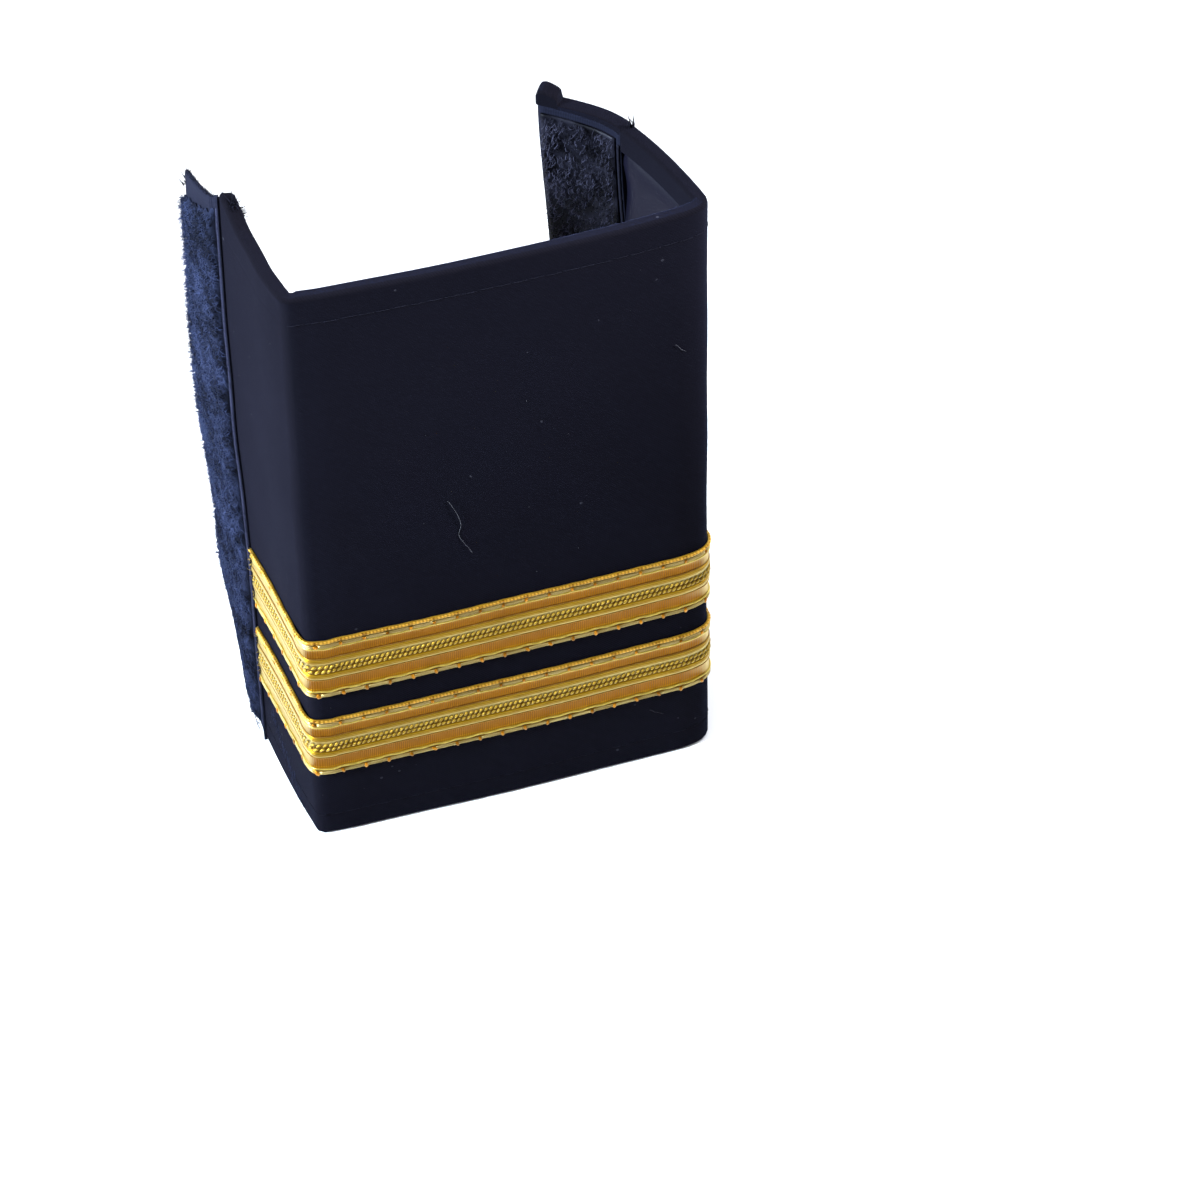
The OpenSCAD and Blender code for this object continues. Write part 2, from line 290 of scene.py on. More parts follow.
def lumpPiece(name, spots, sizes, turns, tone=None, segments=8, rings=6):
    # spots: distance, height and offset of each lump; sizes: half-lengths; turns: radians in the cloth
    unit, quads, triangles = ballShape(segments, rings)
    local = unit[None] * np.asarray(sizes, float).reshape(-1, 1, 3)
    cos, sin = np.cos(turns)[:, None], np.sin(turns)[:, None]
    s = spots[:, 0:1] + local[:, :, 0] * cos - local[:, :, 1] * sin
    z = spots[:, 1:2] + local[:, :, 0] * sin + local[:, :, 1] * cos
    points = place(s, z, spots[:, 2:3] - local[:, :, 2]).reshape(-1, 3)
    step = np.arange(len(spots))[:, None, None] * len(unit)
    groups = [(g[None, :, ::-1] + step).reshape(-1, g.shape[1]) for g in (quads, triangles)]
    if tone is not None:
        tone = np.repeat(tone, len(unit))
    return buildMesh(name, points, groups, tone=tone)


def finish(piece, material, replaces=None):
    piece.data.materials.append(material)
    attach(piece, "root")
    if replaces:
        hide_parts(replaces)
    return piece


def gradedStops(start, end, step, fine=(), reach=1.2, small=0.2):
    # evenly spaced stops, with closer ones within reach of each place named in fine
    stops = list(np.linspace(start, end, max(2, round((end - start) / step) + 1)))
    for spot in fine:
        stops += list(np.arange(max(start, spot - reach), min(end, spot + reach), small))
    stops = sorted(stops)
    kept = [stops[0]]
    for stop in stops[1:-1]:
        if stop - kept[-1] > small * 0.6 and end - stop > small * 0.3:
            kept.append(stop)
    return np.array(kept + [end])


def rounded(distance, radius):  # how far a rounded edge draws in at that distance from it
    d = np.clip(distance, 0, radius)
    return radius - np.sqrt(radius * radius - (radius - d) ** 2)


# shader node helpers
def addNode(tree, kind, inputs=(), **values):
    node = tree.nodes.new(kind)
    for key, value in values.items():
        setattr(node, key, value)
    for key, value in dict(inputs).items():
        if isinstance(value, bpy.types.NodeSocket):
            tree.links.new(value, node.inputs[key])
        else:
            node.inputs[key].default_value = value
    return node


def maths(tree, operation, a, b=None, c=None, clamp=False):
    inputs = {i: v for i, v in enumerate((a, b, c)) if v is not None}
    return addNode(tree, "ShaderNodeMath", inputs, operation=operation, use_clamp=clamp).outputs[0]


def mixColour(tree, share, a, b):
    node = addNode(tree, "ShaderNodeMix", {0: share, 6: a, 7: b}, data_type="RGBA")
    return node.outputs[2]


def noise(tree, at, scale, detail=3.0, roughness=0.55):
    inputs = {"Vector": at, "Scale": scale, "Detail": detail, "Roughness": roughness}
    return addNode(tree, "ShaderNodeTexNoise", inputs).outputs["Fac"]


def effectGroup(name, inputs, outputs):
    group = bpy.data.node_groups.new(name, "ShaderNodeTree")
    for label, kind, value in inputs:
        socket = group.interface.new_socket(label, in_out="INPUT", socket_type="NodeSocket" + kind)
        if value is not None:
            socket.default_value = value
    for label, kind in outputs:
        group.interface.new_socket(label, in_out="OUTPUT", socket_type="NodeSocket" + kind)
    entry, leaving = group.nodes.new("NodeGroupInput"), group.nodes.new("NodeGroupOutput")
    return group, entry.outputs, leaving.inputs


def useGroup(tree, group, inputs):
    return addNode(tree, "ShaderNodeGroup", inputs, node_tree=group).outputs


def makeWeaveGroup():  # diagonal or plain weave, from a place in millimetres
    group, given, out = effectGroup("weave", [
        ("Place", "Vector", None), ("Pitch", "Float", 0.5), ("Twill", "Float", 1.0),
    ], [("Height", "Float"), ("Thread", "Float")])
    parts = addNode(group, "ShaderNodeSeparateXYZ", {0: given["Place"]}).outputs
    turns = maths(group, "DIVIDE", 2 * math.pi, given["Pitch"])
    wander = maths(group, "MULTIPLY", noise(group, given["Place"], 0.9, 2.0), 1.6)
    across = maths(group, "MULTIPLY_ADD", parts[0], turns, wander)
    upward = maths(group, "MULTIPLY_ADD", parts[1], turns, wander)
    diagonal = maths(group, "SINE", maths(group, "ADD", across, upward))
    warp = maths(group, "SINE", maths(group, "MULTIPLY", across, 2.0))
    weft = maths(group, "SINE", maths(group, "MULTIPLY", upward, 2.0))
    plain = maths(group, "MULTIPLY", maths(group, "SINE", across), maths(group, "SINE", upward))
    checked = maths(group, "MULTIPLY", warp, weft)
    twilled = maths(group, "ADD", diagonal, maths(group, "MULTIPLY", checked, 0.4))
    blend = addNode(group, "ShaderNodeMix", {0: given["Twill"], 2: plain, 3: twilled}).outputs[0]
    group.links.new(maths(group, "MULTIPLY_ADD", blend, 0.5, 0.5), out["Height"])
    fine = noise(group, given["Place"], 4.5, 2.0)
    group.links.new(maths(group, "MULTIPLY_ADD", blend, 0.22, fine, clamp=True), out["Thread"])
    return group


def makeMottleGroup():  # slow change between two colours
    group, given, out = effectGroup("mottle", [
        ("Place", "Vector", None), ("Scale", "Float", 40.0), ("Contrast", "Float", 2.0),
        ("Dark", "Color", (0, 0, 0, 1)), ("Light", "Color", (1, 1, 1, 1)),
    ], [("Color", "Color")])
    cloudy = noise(group, given["Place"], given["Scale"], 4.0, 0.6)
    level = maths(group, "SUBTRACT", cloudy, 0.5)
    spread = maths(group, "MULTIPLY_ADD", level, given["Contrast"], 0.5, clamp=True)
    group.links.new(mixColour(group, spread, given["Dark"], given["Light"]), out["Color"])
    return group


def makeDustGroup():  # scattered specks of lint
    group, given, out = effectGroup("dust", [
        ("Place", "Vector", None), ("Scale", "Float", 300.0), ("Size", "Float", 0.1),
    ], [("Mask", "Float")])
    cells = addNode(group, "ShaderNodeTexVoronoi", {"Vector": given["Place"], "Scale": given["Scale"]})
    rare = maths(group, "GREATER_THAN", noise(group, given["Place"], 90.0, 2.0), 0.60)
    speck = maths(group, "LESS_THAN", cells.outputs["Distance"], given["Size"])
    group.links.new(maths(group, "MULTIPLY", speck, rare), out["Mask"])
    return group


def makeRibGroup():  # fine ribs across a tape, from a place in millimetres
    group, given, out = effectGroup("ribs", [
        ("Place", "Vector", None), ("Across", "Float", 0.4), ("Along", "Float", 0.3),
    ], [("Height", "Float"), ("Mask", "Float")])
    parts = addNode(group, "ShaderNodeSeparateXYZ", {0: given["Place"]}).outputs
    waves = []
    for axis, pitch in ((0, "Across"), (1, "Along")):
        turns = maths(group, "DIVIDE", 2 * math.pi, given[pitch])
        waves.append(maths(group, "SINE", maths(group, "MULTIPLY", parts[axis], turns)))
    both = maths(group, "MULTIPLY_ADD", waves[1], 0.45, waves[0])
    group.links.new(maths(group, "MULTIPLY_ADD", both, 0.35, 0.5), out["Height"])
    group.links.new(maths(group, "MULTIPLY_ADD", both, 0.3, 0.5, clamp=True), out["Mask"])
    return group


def makeStrandGroup():  # one thread's tone between two colours, with slow patches over the field; on the rim cords the tone holds painted shade
    group, given, out = effectGroup("strandTone", [
        ("Tone", "Float", 0.5), ("Place", "Vector", None), ("Patch Scale", "Float", 150.0),
        ("Patch", "Float", 0.5), ("Dark", "Color", (0, 0, 0, 1)), ("Light", "Color", (1, 1, 1, 1)),
    ], [("Color", "Color")])
    patchy = maths(group, "SUBTRACT", noise(group, given["Place"], given["Patch Scale"], 3.0), 0.5)
    share = maths(group, "MULTIPLY_ADD", patchy, given["Patch"], given["Tone"], clamp=True)
    group.links.new(mixColour(group, share, given["Dark"], given["Light"]), out["Color"])
    return group


weaveGroup, mottleGroup, dustGroup = makeWeaveGroup(), makeMottleGroup(), makeDustGroup()
ribGroup, strandGroup = makeRibGroup(), makeStrandGroup()
print("shared effects made")


def newMaterial(name, roughness, sheen=0.0, sheenTint=(1, 1, 1, 1), metallic=0.0, specular=0.5):
    material = bpy.data.materials.new(name)
    material.use_nodes = True
    tree = material.node_tree
    tree.nodes.clear()
    shader = tree.nodes.new("ShaderNodeBsdfPrincipled")
    leaving = tree.nodes.new("ShaderNodeOutputMaterial")
    tree.links.new(shader.outputs[0], leaving.inputs[0])
    shader.inputs["Roughness"].default_value = roughness
    shader.inputs["Metallic"].default_value = metallic
    shader.inputs["Specular IOR Level"].default_value = specular
    shader.inputs["Sheen Weight"].default_value = sheen
    shader.inputs["Sheen Roughness"].default_value = 0.45
    shader.inputs["Sheen Tint"].default_value = sheenTint
    material.diffuse_color = (0.5, 0.5, 0.5, 1)
    return material, tree, shader


def threadPlace(tree):
    return addNode(tree, "ShaderNodeUVMap", uv_map="threads").outputs[0]


def objectPlace(tree):
    return addNode(tree, "ShaderNodeTexCoord").outputs["Object"]


def addBump(tree, shader, height, distance):
    bump = addNode(tree, "ShaderNodeBump", {"Height": height, "Distance": distance, "Strength": 1.0})
    tree.links.new(bump.outputs[0], shader.inputs["Normal"])


dustLook = {"colour": (0.02, 0.02, 0.025, 1), "scale": 420.0, "size": 0.09}
clothLook = {
    "dark": (0.0022, 0.0020, 0.0030, 1), "light": (0.0033, 0.0030, 0.0046, 1),
    "mottle": 70.0, "contrast": 1.4,
    "sheen": 0.024, "sheenTint": (0.36, 0.45, 1.0, 1), "roughness": 0.95, "specular": 0.01,
    "pitch": 0.42, "twill": 1.0, "depth": 0.02 * mm,
}
facingLook = {
    "dark": (0.0008, 0.0007, 0.0020, 1), "light": (0.0021, 0.0019, 0.0056, 1),
    "mottle": 70.0, "contrast": 1.4,
    "sheen": 0.012, "sheenTint": (0.40, 0.48, 1.0, 1), "roughness": 0.55, "specular": 0.05,
    "pitch": 0.34, "twill": 0.0, "depth": 0.012 * mm,
}


def mottled(tree, look):
    inputs = {"Place": objectPlace(tree), "Scale": look["mottle"], "Contrast": look["contrast"],
              "Dark": look["dark"], "Light": look["light"]}
    return useGroup(tree, mottleGroup, inputs)


def makeWovenCloth(name, look):
    material, tree, shader = newMaterial(name, look["roughness"], look["sheen"], look["sheenTint"],
                                         specular=look["specular"])
    threads = {"Place": threadPlace(tree), "Pitch": look["pitch"], "Twill": look["twill"]}
    weave = useGroup(tree, weaveGroup, threads)
    lit = mixColour(tree, weave["Thread"], mottled(tree, look)["Color"], look["light"])
    specks = {"Place": objectPlace(tree), "Scale": dustLook["scale"], "Size": dustLook["size"]}
    dust = useGroup(tree, dustGroup, specks)
    tree.links.new(mixColour(tree, dust["Mask"], lit, dustLook["colour"]), shader.inputs["Base Color"])
    addBump(tree, shader, weave["Height"], look["depth"])
    return material


tapeLook = {
    "dark": (0.0040, 0.0044, 0.0085, 1), "light": (0.0090, 0.0102, 0.0200, 1),
    "mottle": 160.0, "contrast": 1.6,
    "roughness": 0.85, "sheen": 0.012, "sheenTint": (0.45, 0.50, 1.0, 1), "specular": 0.03,
    "across": 0.36, "along": 0.5, "depth": 0.03 * mm,
}


def makeTape(name, look):
    material, tree, shader = newMaterial(name, look["roughness"], look["sheen"], look["sheenTint"],
                                         specular=look["specular"])
    threads = {"Place": threadPlace(tree), "Across": look["across"], "Along": look["along"]}
    ribs = useGroup(tree, ribGroup, threads)
    lit = mixColour(tree, ribs["Mask"], look["dark"], mottled(tree, look)["Color"])
    tree.links.new(lit, shader.inputs["Base Color"])
    addBump(tree, shader, ribs["Height"], look["depth"])
    return material


strandLooks = {
    # dark, light, patch, roughness, metallic, sheen, most painted sheen where seen edge-on
    "pile": ((0.0020, 0.0026, 0.0058, 1), (0.020, 0.026, 0.058, 1), 2.2, 0.8, 0.0, 0.01, 0.0),
    "hooks": ((0.0014, 0.0014, 0.0024, 1), (0.062, 0.062, 0.098, 1), 0.5, 0.45, 0.0, 0.0, 0.0),
    "fray": ((0.0016, 0.0017, 0.0030, 1), (0.0055, 0.0058, 0.0105, 1), 0.3, 0.9, 0.0, 0.0, 0.0),
    "stitch": ((0.0042, 0.0042, 0.0070, 1), (0.0062, 0.0062, 0.0105, 1), 0.4, 0.9, 0.0, 0.0, 0.0),
    "selvage": ((0.009, 0.0092, 0.018, 1), (0.020, 0.021, 0.040, 1), 0.8, 0.85, 0.0, 0.01, 0.0),
    "lint": ((0.02, 0.02, 0.023, 1), (0.06, 0.06, 0.066, 1), 0.2, 0.9, 0.0, 0.0, 0.0),
    "bead": ((0.22, 0.125, 0.008, 1), (0.40, 0.255, 0.032, 1), 0.4, 0.52, 0.9, 0.0, 0.3),
    "goldThread": ((0.22, 0.125, 0.009, 1), (0.50, 0.33, 0.045, 1), 0.6, 0.38, 0.9, 0.0, 0.35),
    "paleCord": ((0.30, 0.21, 0.030, 1), (0.52, 0.39, 0.080, 1), 0.5, 0.36, 0.9, 0.0, 0.4),
    "gimp": ((0.20, 0.135, 0.038, 1), (0.44, 0.33, 0.120, 1), 0.7, 0.45, 0.8, 0.0, 0.35),
    "knot": ((0.12, 0.040, 0.002, 1), (0.50, 0.20, 0.012, 1), 0.6, 0.42, 0.9, 0.0, 0.1),
    "rim": ((0.16, 0.060, 0.003, 1), (0.66, 0.38, 0.050, 1), 0.5, 0.42, 0.9, 0.0, 0.15),
    "pinkLine": ((0.16, 0.072, 0.008, 1), (0.28, 0.135, 0.022, 1), 0.4, 0.5, 0.8, 0.0, 0.2),
}
# the pale colour painted on as sheen where gold threads are seen edge-on
grazeSheenColour = (0.86, 0.74, 0.30, 1)
strandPatches = 260.0  # how fine the patches of lighter and darker threads are


def paintedGrazeSheen(tree, colour, most):  # painted sheen: gold threads are painted pale where they are seen edge-on
    away = addNode(tree, "ShaderNodeLayerWeight", {"Blend": 0.5}).outputs["Facing"]
    share = maths(tree, "MULTIPLY", maths(tree, "MULTIPLY_ADD", away, 3.2, -1.28, clamp=True), most)
    return mixColour(tree, share, colour, grazeSheenColour)


def makeStrand(name):
    dark, light, patch, roughness, metallic, sheen, most = strandLooks[name]
    tint, specular = (0.5, 0.6, 1, 1), 0.2 if metallic else 0.04
    material, tree, shader = newMaterial(name + "Thread", roughness, sheen, tint, metallic, specular)
    tone = addNode(tree, "ShaderNodeAttribute", attribute_name="tone").outputs["Fac"]
    inputs = {"Tone": tone, "Place": objectPlace(tree), "Patch Scale": strandPatches, "Patch": patch,
              "Dark": dark, "Light": light}
    colour = useGroup(tree, strandGroup, inputs)["Color"]
    # metal threads get painted sheen, paler where they are seen edge-on
    tree.links.new(paintedGrazeSheen(tree, colour, most) if metallic else colour, shader.inputs["Base Color"])
    return material


braid = {
    "width": 11, "foot": 12.8, "between": 4.6, "endGap": 0.3, "edge": 0.4, "depth": 0.6,
    "stitch": 3.3, "stitchGap": 0.5, "ribs": 0.28, "bridge": 0.22,
    "bead": 0.72, "beadSlant": 50, "beadSize": (0.42, 0.20, 0.16), "beadRow": 0.42,
    "gimpRadius": 0.12, "rimHeight": 0.977, "rimRadius": 0.22,
    "paleCordRadius": 0.135, "pinkLineRadius": 0.07,
}
upperFoot = braid["foot"] + braid["width"] + braid["between"]
# share of the width where dashes run, how far they bow, where their knots sit, half the knots' height
stitchRows = [(0.034, 0.09, 0.030, 0.48), (0.908, 0.0, 0.908, 0.32)]
paleCords = [(0.102, 0.26, 1.0), (0.869, 0.26, 0.4)]  # share of the width, offset, share of the full bow
pinkLines = [(0.309, 0.22, 0), (0.691, 0.22, 0)]
# share of the lace's width from its lower edge, then its thickness there
laceProfile = [
    (0.000, 0.20), (0.008, 0.30), (0.060, 0.30), (0.068, 0.20), (0.086, 0.20), (0.094, 0.32), (0.110, 0.32),
    (0.120, 0.26), (0.160, 0.20), (0.230, 0.20), (0.280, 0.26), (0.300, 0.28), (0.318, 0.26), (0.326, 0.40),
    (0.345, 0.52), (0.368, 0.56), (0.390, 0.52), (0.404, 0.40), (0.412, 0.26), (0.588, 0.26), (0.596, 0.40),
    (0.610, 0.52), (0.632, 0.56), (0.655, 0.52), (0.674, 0.40), (0.682, 0.26), (0.700, 0.28), (0.720, 0.26),
    (0.770, 0.20), (0.820, 0.20), (0.852, 0.26), (0.862, 0.32), (0.880, 0.32), (0.888, 0.28), (0.932, 0.28),
    (0.940, 0.18), (0.955, 0.18), (0.965, 0.30), (0.992, 0.30), (1.000, 0.20),
]
# where each colour of the lace starts, as a share of its width from its lower edge
laceColours = [
    (0.000, (0.259, 0.142, 0.018)), (0.066, (0.108, 0.040, 0.0024)), (0.090, (0.389, 0.247, 0.024)),
    (0.116, (0.259, 0.119, 0.0042)), (0.150, (0.205, 0.074, 0.001)), (0.270, (0.213, 0.082, 0.0015)),
    (0.296, (0.123, 0.046, 0.0018)), (0.322, (0.324, 0.185, 0.0108)), (0.408, (0.150, 0.072, 0.003)),
    (0.592, (0.324, 0.185, 0.0108)), (0.678, (0.123, 0.046, 0.0018)), (0.704, (0.213, 0.082, 0.0015)),
    (0.735, (0.205, 0.074, 0.001)), (0.815, (0.281, 0.133, 0.0054)), (0.856, (0.410, 0.257, 0.0228)),
    (0.882, (0.281, 0.180, 0.0276)), (0.936, (0.108, 0.040, 0.0024)), (0.958, (0.346, 0.195, 0.0144)),
]

# the lace's painted sheen share sets how pale it is painted where seen edge-on
laceLook = {
    "roughness": 0.42, "specular": 0.1, "grazeSheenShare": 0.42, "shadow": (0.05, 0.018, 0.002, 1),
    "lines": 0.27, "middle": 0.49, "ribbedFrom": 0.19, "ribbedTo": 0.375, "relief": 0.20,
    "patches": 320.0, "depth": 0.026 * mm,
}


def makeLace():
    look = laceLook
    material, tree, shader = newMaterial("laceGround", look["roughness"], metallic=1.0,
                                         specular=look["specular"])
    parts = addNode(tree, "ShaderNodeSeparateXYZ", {0: threadPlace(tree)}).outputs
    # the lace's own height is its second coordinate, already a share of its width
    ramp = addNode(tree, "ShaderNodeValToRGB", {0: parts[1]})
    ramp.color_ramp.interpolation = "CONSTANT"
    stops = ramp.color_ramp.elements
    while len(stops) < len(laceColours):
        stops.new(0.5)
    for stop, (share, colour) in zip(stops, laceColours):
        stop.position, stop.color = share, (*colour, 1)
    ribs = maths(tree, "SINE", maths(tree, "MULTIPLY", parts[0], 2 * math.pi / braid["ribs"]))
    lineTurns = 2 * math.pi * braid["width"] / look["lines"]
    lengthwise = maths(tree, "SINE", maths(tree, "MULTIPLY", parts[1], lineTurns))
    fromMiddle = maths(tree, "ABSOLUTE", maths(tree, "SUBTRACT", parts[1], look["middle"]))
    inBand = maths(tree, "MULTIPLY", maths(tree, "GREATER_THAN", fromMiddle, look["ribbedFrom"]),
                   maths(tree, "LESS_THAN", fromMiddle, look["ribbedTo"]))
    threads = addNode(tree, "ShaderNodeMix", {0: inBand, 2: lengthwise, 3: ribs}).outputs[0]
    shade = maths(tree, "MULTIPLY_ADD", threads, look["relief"], 0.80, clamp=True)
    patchy = noise(tree, objectPlace(tree), look["patches"], 3.0)
    shade = maths(tree, "MULTIPLY", shade, maths(tree, "MULTIPLY_ADD", patchy, 0.7, 0.66), clamp=True)
    threadColour = mixColour(tree, shade, look["shadow"], ramp.outputs[0])
    # the lace gets painted sheen, paler where it is seen edge-on
    tree.links.new(paintedGrazeSheen(tree, threadColour, look["grazeSheenShare"]), shader.inputs["Base Color"])
    addBump(tree, shader, threads, look["depth"])
    return material


materials = {
    "cloth": makeWovenCloth("twillCloth", clothLook),
    "facing": makeWovenCloth("facingCloth", facingLook),
    "tape": makeTape("wovenTape", tapeLook),
    "lace": makeLace(),
}
for threadName in strandLooks:
    materials[threadName] = makeStrand(threadName)
print("materials made")


hemStitch = {"pitch": 2.3, "length": 2.2, "radius": 0.05, "below": 0.45}
clothShape = {
    "step": 0.95, "edgeRound": 0.62, "endRound": 0.6, "hemStep": 0.25, "stitchGroove": 0.03,
    "tuckWidth": 3.4, "tuckRise": 1.8, "tuckBulge": 0.7, "lap": 1.8,
}
# share of the rolled corner's width from its free end, then its height there
tuckProfile = [
    (0, 0.35), (0.06, 0.72), (0.15, 0.92), (0.3, 1), (0.5, 0.93), (0.8, 0.74), (0.93, 0.55), (1, 0),
]


def tuckShare(s, z):  # the rolled corner at the top of the right flap
    t = np.clip((endRight - s) / clothShape["tuckWidth"], 0, 1)
    swell = np.interp(t, *zip(*tuckProfile))
    return swell * np.clip((z - top + board["hem"]) / board["hem"], 0, 1)


def makeCloth():
    shape, hem = clothShape, board["hem"]
    seams = [seamLeft, seamRight, endRight - 1.8]
    along = gradedStops(clothLeft, endRight, shape["step"], seams, reach=1.9)
    up = gradedStops(0, top, shape["step"], fine=[0.5, hem, top - hem, top - 0.5], reach=1.1, small=0.12)
    s, z = np.meshgrid(along, up, indexing="ij")
    edge = np.minimum(z, top - z)
    hemmed = smooth((s - seamLeft) / 0.4) * smooth((hem - edge) / shape["hemStep"] + 0.5)
    thick = board["cloth"] + (wall - board["cloth"]) * hemmed
    draw = np.minimum(rounded(edge, shape["edgeRound"]), thick * 0.48)
    draw = np.maximum(draw, np.minimum(rounded(endRight - s, shape["endRound"]), thick * 0.48))
    groove = hump(z, hem, 0.32) + hump(z, top - hem - hemStitch["below"], 0.32)
    pucker = 0.75 + 0.25 * np.cos(2 * math.pi * s / hemStitch["pitch"])
    outer = -draw - shape["stitchGroove"] * groove * pucker + shape["tuckBulge"] * tuckShare(s, z)
    inner = -thick + draw
    lap = shape["lap"] * smooth((seamLeft - 0.1 - s) / 0.4) * np.clip((z - top + hem) / hem, 0, 1)
    lift = shape["tuckRise"] * tuckShare(s, z) + hemRise(s, z) + seamRise(s, z) + cornerRise(s, z) - lap
    piece = sheetPiece("outerCloth", along, up, inner, outer, lift)
    return finish(piece, materials["cloth"], "cloth_wrap")


facingShape = {
    "step": 1.0, "foot": board["hem"] + 0.2, "head": top - board["hem"] - 0.2,
    "billow": 1.3, "highBillow": 0.5, "pocket": 0.85, "recess": 0.45,
}


def makeFacing():
    shape = facingShape
    along = gradedStops(seamLeft, seamRight, shape["step"])
    up = gradedStops(shape["foot"], shape["head"], shape["step"])
    s, z = np.meshgrid(along, up, indexing="ij")
    edge = np.minimum(z - up[0], up[-1] - z)
    draw = rounded(edge, 0.3)
    slid = s - (seamRight - seamBow(seamRight, z)) * np.clip((s - seamRight + 8) / 8, 0, 1)
    soft = shape["billow"] * hump(s, seamRight - 4.2, 2.6) * hump(z, 81, 7)
    soft = soft + shape["highBillow"] * hump(s, seamRight - 7.5, 3.0) * hump(z, 88, 5)
    pocket = shape["pocket"] * hump(s, seamRight - 0.4, 1.5) * hump(z, 91.5, 5.0)
    recess = shape["recess"] * hump(edge, 0, 1.3)  # the lining sinks where it goes under the turned hems
    inner = -wall + draw - np.where(edge > 0.5, soft, 0) + pocket + recess
    inner = np.minimum(inner, clothInside - 0.08)
    piece = sheetPiece("innerFacing", along, up, inner, clothInside, slid=slid)
    return finish(piece, materials["facing"], "inner_facing")


def hemStitches(name, height, start, end):
    count = int((end - start) / hemStitch["pitch"])
    middles = start + hemStitch["pitch"] * (np.arange(count) + 0.5)
    t = np.linspace(-0.5, 0.5, 7)
    s = middles[:, None] + t[None] * hemStitch["length"]
    arch = hemStitch["radius"] * (1.2 * np.cos(math.pi * t) - 0.55)
    z = height + 0.05 * np.sin(middles * 1.7)[:, None] + 0 * s
    paths = place(s, z, arch[None])
    radius = hemStitch["radius"] * mm * np.sqrt(np.clip(1.05 - (2 * t) ** 8, 0.3, 1))[None]
    tone = seeds.random((count, 1)) * 0.8 + 0.1
    return finish(strandPiece(name, paths, radius, 6, tone), materials["stitch"])


# tapes: the loop strip stands free beyond the left flap, the hook strip lies inside the right one
tape = {
    "selvage": 1.1, "ridge": 0.75, "rib": 0.12, "thinning": 0.6, "step": 0.5,
    "topTrim": 4.0, "footTrim": 12.0, "bareTop": 3.6, "bareSeam": 1.6, "bareEnd": 0.8,
}


def loopTrim(s, z):  # the loop strip is cut to a slant at its top and to a curve at its foot
    share = np.maximum(0, seamLeft - s) / board["loopWidth"]
    foot, slant = np.sqrt(share) * tape["footTrim"] * (1 - z / top), share * tape["topTrim"] * z / top
    return seamRise(s, z) + cornerRise(s, z) + foot - slant


def tapeFace(s):  # the loop strip thins towards the edge where it is sewn down
    return board["clearance"] + board["backing"] - tape["thinning"] * smooth(1 - (seamLeft - s) / 1.6)


def selvageRib(inward, width):  # share of the way across a tape's woven edge, and its low rib there
    share = np.clip(inward / width, 0, 1)
    return share, tape["rib"] * np.sqrt(np.clip(1 - (2 * share - 1) ** 2, 0, 1))


def makeLoopTape():
    fine = [seamLeft - tape["selvage"], seamLeft]
    along = gradedStops(endLeft, seamLeft, tape["step"], fine, small=0.12)
    up = gradedStops(board["clearance"], top - board["clearance"], 0.8, fine=[top - 0.4, 0.4], small=0.15)
    s, z = np.meshgrid(along, up, indexing="ij")
    lowest = board["clearance"]
    inSelvage, rib = selvageRib(seamLeft - s, tape["ridge"])
    edge = np.minimum(np.minimum(z - up[0], up[-1] - z), s - endLeft)
    draw = rounded(edge, 0.35)
    wave = 0.04 * np.sin(z * 1.3) * inSelvage
    outer = tapeFace(s) - draw + rib + wave
    piece = sheetPiece("loopTape", along, up, lowest + draw, outer, loopTrim(s, z))
    return finish(piece, materials["tape"], "loop_strip")


pile = {
    "depth": 0.75, "count": 10500, "radius": 0.052, "reach": 0.85, "step": 0.42,
    "strayCount": 2600, "strayRadius": 0.085,
}


def pileHead(s):  # the pile reaches nearer to the tape's top beside the seam
    bare = np.interp(s, (endLeft, seamLeft), (tape["bareTop"], tape["bareSeam"]))
    return top - bare + 0.25 * np.sin(2.9 * s + np.sin(7.3 * s))


def makePileMat(left, right, low, high):
    along, up = gradedStops(left, right, pile["step"]), gradedStops(low, high, pile["step"])
    s, z = np.meshgrid(along, up, indexing="ij")
    z = low + (z - low) * (pileHead(s) - low) / (high - low)
    ground = tapeFace(s) + board["clearance"]
    bumps = np.sin(2.3 * s + 1.7 * np.sin(0.9 * z)) * np.sin(1.9 * z + 1.3 * np.sin(1.1 * s))
    small = np.sin(6.1 * s + 2.0 * np.sin(2.1 * z)) * np.sin(5.3 * z + 1.6 * np.sin(2.7 * s))
    edge = np.minimum(np.minimum(z - low, pileHead(s) - z), np.minimum(s - left, right - s))
    height = pile["depth"] * (0.58 + 0.20 * bumps + 0.14 * small) - rounded(edge, 0.45)
    height = np.maximum(height, 0.08)
    mat = sheetPiece("pileMat", along, up, ground, ground + height, loopTrim(s, z) + z - up[None])
    giveTone(mat.data, np.tile(np.clip(0.16 + 0.12 * bumps + 0.06 * small, 0, 1).ravel(), 2))
    return finish(mat, materials["pile"], "loop_pile")


